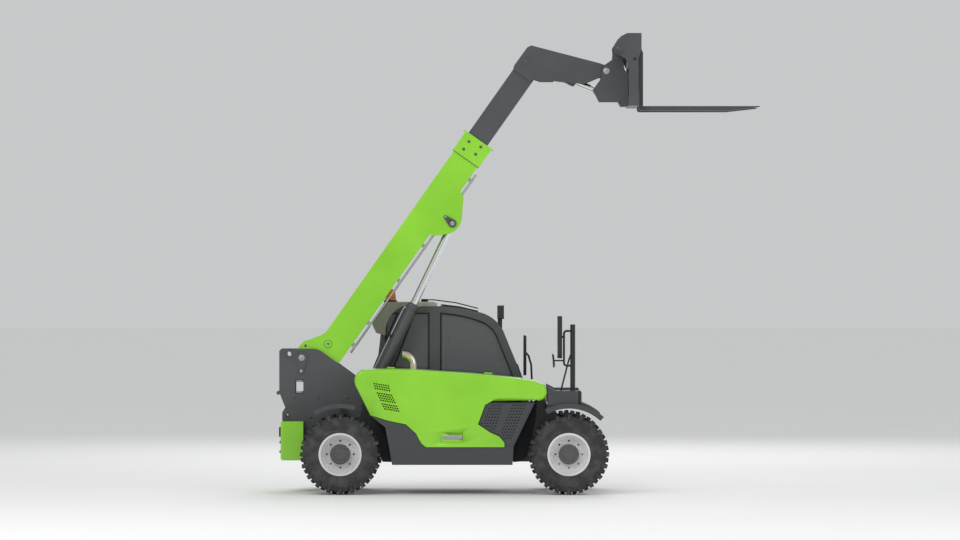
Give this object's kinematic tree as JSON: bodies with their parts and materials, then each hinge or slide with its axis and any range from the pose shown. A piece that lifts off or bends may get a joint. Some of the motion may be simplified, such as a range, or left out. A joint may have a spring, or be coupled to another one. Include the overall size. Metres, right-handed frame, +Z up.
{
  "type": "telehandler",
  "caption": "Compact telescopic handler with side cab, side engine pod, raised two-stage boom and pallet forks; steering, boom, forks, hood and door move.",
  "frame": {"origin": "on the ground, under the middle of the overall length and width", "axes": "+X forward to the fork tips, +Y the driver's left, the cab's side, +Z up"},
  "size_m": [5.078, 1.81, 4.8188],
  "materials": {
    "body_green": "gloss",
    "frame_grey": "satin",
    "rim_silver": "satin",
    "tyre_rubber": "matte",
    "roof_beige": "satin",
    "cab_glass": "clear",
    "rod_chrome": "polished",
    "exhaust_chrome": "polished",
    "seat_cloth": "woven",
    "trim_plastic": "matte",
    "lamp_lens": "clear",
    "beacon_amber": "gloss",
    "engine_iron": "rough",
    "fork_steel": "satin"
  },
  "bodies": {
    "chassis": {"chassis_frame": "frame_grey", "boom_tower": "frame_grey", "counterweight": "body_green", "front_axle": "frame_grey", "rear_axle": "frame_grey", "engine_block": "engine_iron", "pod_tub": "frame_grey", "bay_wall": "body_green", "exhaust_pipe": "exhaust_chrome", "cab_frame": "frame_grey", "cab_roof": "roof_beige", "cab_glass": "cab_glass", "step_skirt": "frame_grey", "front_guards": "frame_grey", "rear_guards": "frame_grey", "headlamps": "lamp_lens", "mirror_mast": "trim_plastic", "seat_base": "trim_plastic", "seat": "seat_cloth", "console": "trim_plastic", "beacon": "beacon_amber", "work_lamps": "trim_plastic"},
    "hood": {"hood": "body_green"},
    "cab_door": {"door_frame": "frame_grey", "door_glass": "cab_glass"},
    "boom_outer": {"boom_outer": "body_green", "boom_pipes": "rod_chrome"},
    "boom_inner": {"boom_inner": "frame_grey"},
    "lift_barrel": {"lift_barrel": "frame_grey"},
    "lift_rod": {"lift_rod": "rod_chrome"},
    "tilt_barrel": {"tilt_barrel": "frame_grey"},
    "tilt_rod": {"tilt_rod": "rod_chrome"},
    "carriage": {"hitch": "frame_grey", "fork_carriage": "frame_grey", "forks": "fork_steel"},
    "knuckle_front_right": {"knuckle_front_right": "frame_grey"},
    "wheel_front_right": {"tyre_front_right": "tyre_rubber", "rim_front_right": "rim_silver"},
    "knuckle_front_left": {"knuckle_front_left": "frame_grey"},
    "wheel_front_left": {"tyre_front_left": "tyre_rubber", "rim_front_left": "rim_silver"},
    "knuckle_rear_right": {"knuckle_rear_right": "frame_grey"},
    "wheel_rear_right": {"tyre_rear_right": "tyre_rubber", "rim_rear_right": "rim_silver"},
    "knuckle_rear_left": {"knuckle_rear_left": "frame_grey"},
    "wheel_rear_left": {"tyre_rear_left": "tyre_rubber", "rim_rear_left": "rim_silver"}
  },
  "joints": [
    {"name": "boom_lift", "type": "hinge", "parent": "chassis", "child": "boom_outer", "pos_m": [-2.27298, -0.06, 1.415], "axis": [0, -1, 0], "range_deg": [-56, 10]},
    {"name": "boom_extend", "type": "slide", "parent": "boom_outer", "child": "boom_inner", "axis": [0.5764, 0, 0.8171], "range_m": [-0.78, 1.12]},
    {"name": "carriage_tilt", "type": "hinge", "parent": "boom_inner", "child": "carriage", "pos_m": [0.93398, -0.06, 4.43454], "axis": [0, 1, 0], "range_deg": [-68, 60]},
    {"name": "lift_barrel_swing", "type": "hinge", "parent": "chassis", "child": "lift_barrel", "pos_m": [-1.73098, -0.06, 0.6685], "axis": [0, -1, 0], "range_deg": [-53.98, 10.05]},
    {"name": "lift_rod_slide", "type": "slide", "parent": "lift_barrel", "child": "lift_rod", "axis": [0.4348, 0, 0.9005], "range_m": [-0.845, 0.155]},
    {"name": "tilt_barrel_swing", "type": "hinge", "parent": "boom_inner", "child": "tilt_barrel", "pos_m": [0.08863, -0.06, 4.53034], "axis": [0, 1, 0], "range_deg": [-3, 3]},
    {"name": "tilt_rod_slide", "type": "slide", "parent": "tilt_barrel", "child": "tilt_rod", "axis": [0.929, 0, -0.3702], "range_m": [-0.199, 0.2248]},
    {"name": "hood_lift", "type": "hinge", "parent": "chassis", "child": "hood", "pos_m": [-1.55198, -0.346, 1.323], "axis": [-0.9985, 0, 0.055], "range_deg": [0, 60]},
    {"name": "door_swing", "type": "hinge", "parent": "chassis", "child": "cab_door", "pos_m": [-0.79199, 0.895, 1.2], "axis": [0, 0, 1], "range_deg": [0, 95]},
    {"name": "steer_front_right", "type": "hinge", "parent": "chassis", "child": "knuckle_front_right", "pos_m": [0.52802, -0.6025, 0.42], "axis": [0, 0, 1], "range_deg": [-35, 35]},
    {"name": "steer_front", "type": "hinge", "parent": "chassis", "child": "knuckle_front_left", "pos_m": [0.52802, 0.6025, 0.42], "axis": [0, 0, 1], "range_deg": [-35, 35]},
    {"name": "steer_rear_right", "type": "hinge", "parent": "chassis", "child": "knuckle_rear_right", "pos_m": [-1.85198, -0.6025, 0.42], "axis": [0, 0, 1], "range_deg": [-35, 35]},
    {"name": "steer_rear", "type": "hinge", "parent": "chassis", "child": "knuckle_rear_left", "pos_m": [-1.85198, 0.6025, 0.42], "axis": [0, 0, 1], "range_deg": [-35, 35]},
    {"name": "spin_front_right", "type": "hinge", "parent": "knuckle_front_right", "child": "wheel_front_right", "pos_m": [0.52802, -0.7525, 0.42], "axis": [0, 1, 0], "continuous": true},
    {"name": "spin_front_left", "type": "hinge", "parent": "knuckle_front_left", "child": "wheel_front_left", "pos_m": [0.52802, 0.7525, 0.42], "axis": [0, 1, 0], "continuous": true},
    {"name": "spin_rear_right", "type": "hinge", "parent": "knuckle_rear_right", "child": "wheel_rear_right", "pos_m": [-1.85198, -0.7525, 0.42], "axis": [0, 1, 0], "continuous": true},
    {"name": "spin_rear_left", "type": "hinge", "parent": "knuckle_rear_left", "child": "wheel_rear_left", "pos_m": [-1.85198, 0.7525, 0.42], "axis": [0, 1, 0], "continuous": true}
  ],
  "couplings": [
    {"joint": "lift_barrel_swing", "follows": "boom_lift", "ratio": 0.955},
    {"joint": "lift_rod_slide", "follows": "boom_lift", "m_per_rad": 0.8594},
    {"joint": "tilt_barrel_swing", "follows": "carriage_tilt", "ratio": 0.0354},
    {"joint": "tilt_rod_slide", "follows": "carriage_tilt", "m_per_rad": -0.18523},
    {"joint": "steer_front_right", "follows": "steer_front", "ratio": 1},
    {"joint": "steer_rear_right", "follows": "steer_rear", "ratio": 1}
  ]
}
